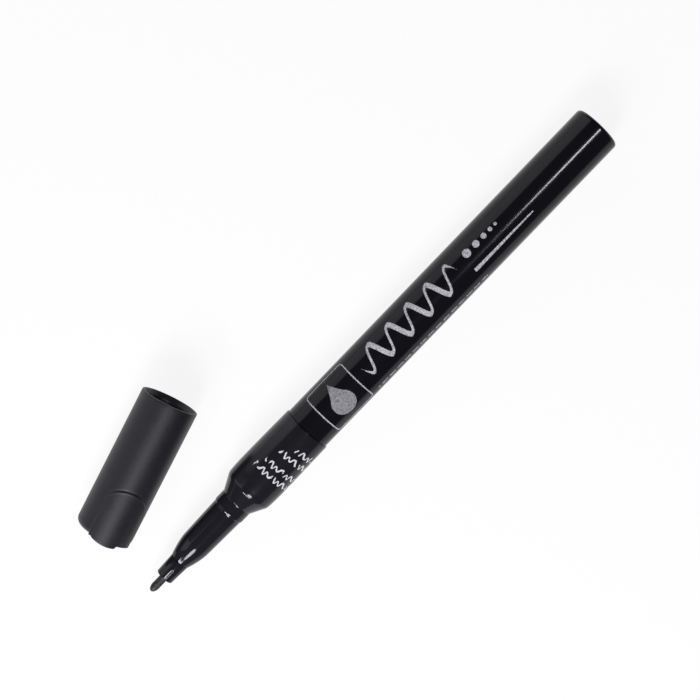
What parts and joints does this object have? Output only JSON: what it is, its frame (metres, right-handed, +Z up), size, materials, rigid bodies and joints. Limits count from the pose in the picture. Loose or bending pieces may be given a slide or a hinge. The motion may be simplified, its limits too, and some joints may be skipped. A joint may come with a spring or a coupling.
{
  "type": "paint marker",
  "caption": "Slim valve-action paint marker with a tubular barrel, stepped grip and nose, pressed-in fibre nib, and a round push-on cap with a roll-stop lug lying beside it.",
  "frame": {"origin": "middle of the bounding box's base, on the table between the pen and its cap", "axes": "+X along the pen from nib to tail, +Y from the pen to the cap, +Z up from the table"},
  "size_m": [0.1366, 0.037, 0.0131],
  "materials": {
    "barrel_lacquer": "glossy black lacquer on drawn aluminium",
    "section_plastic": "satin-gloss black moulding",
    "nib_fibre": "hard pressed fibre, soaked with black paint",
    "seal_rubber": "smooth black rubber",
    "stem_plastic": "white moulding",
    "spring_steel": "bright drawn spring wire",
    "housing_plastic": "natural milky moulding",
    "ball_steel": "polished steel ball",
    "cap_plastic": "satin charcoal-black moulding",
    "inner_cap_plastic": "soft milky moulding"
  },
  "bodies": {
    "pen": {"barrel": "barrel_lacquer", "front_section": "section_plastic", "nib_holder": "section_plastic", "valve_seat": "seal_rubber", "valve_housing": "housing_plastic", "valve_spring": "spring_steel"},
    "plunger": {"nib": "nib_fibre", "valve_stem": "stem_plastic"},
    "ball": {"mixing_ball": "ball_steel"},
    "cap": {"cap_shell": "cap_plastic", "inner_cap": "inner_cap_plastic"}
  },
  "joints": [
    {"name": "nib_press", "type": "slide", "parent": "pen", "child": "plunger", "axis": [1, 0, 0], "range_m": [0, 0.0016], "stiffness_N_per_m": 300, "springref_m": -0.002, "deforming": ["valve_spring"]},
    {"name": "ball_roll", "type": "slide", "parent": "pen", "child": "ball", "axis": [1, 0, 0], "range_m": [-0.0347, 0.0385]},
    {"name": "cap_pull", "type": "slide", "parent": "pen", "child": "cap", "axis": [-0.9591, -0.2832, 0], "range_m": [0, 0.0295]}
  ]
}
